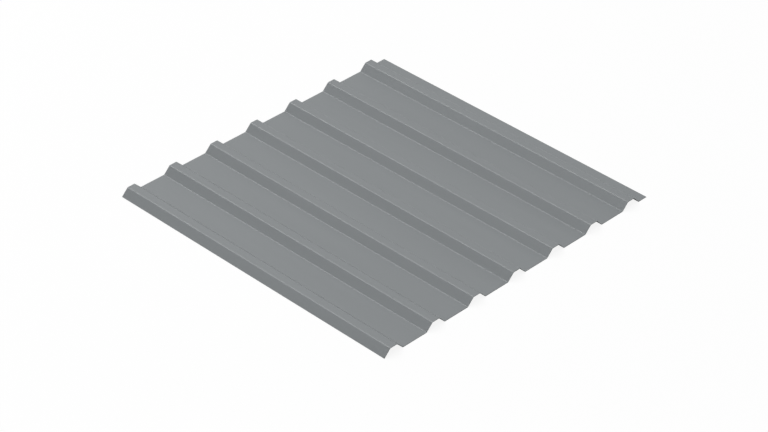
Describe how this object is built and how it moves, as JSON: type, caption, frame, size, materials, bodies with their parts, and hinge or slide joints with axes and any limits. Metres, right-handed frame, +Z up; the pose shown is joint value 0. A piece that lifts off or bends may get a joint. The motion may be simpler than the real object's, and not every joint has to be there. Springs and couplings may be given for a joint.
{
  "type": "profiled sheet",
  "caption": "Rolled aluminium roofing and cladding sheet with trapezoidal ribs, flat pans, an overlap lip on one long side and a plain underlap flat on the other.",
  "frame": {"origin": "under the middle of the sheet, at the level of the pans' underside", "axes": "+X across the ribs, from the overlap lip towards the underlap flat; +Y along the ribs; +Z up, out of the weather side"},
  "size_m": [1.1094, 1.109, 0.025],
  "materials": {
    "coated_aluminium": "matte"
  },
  "bodies": {
    "root": {"profiled_sheet": "coated_aluminium"}
  },
  "joints": []
}
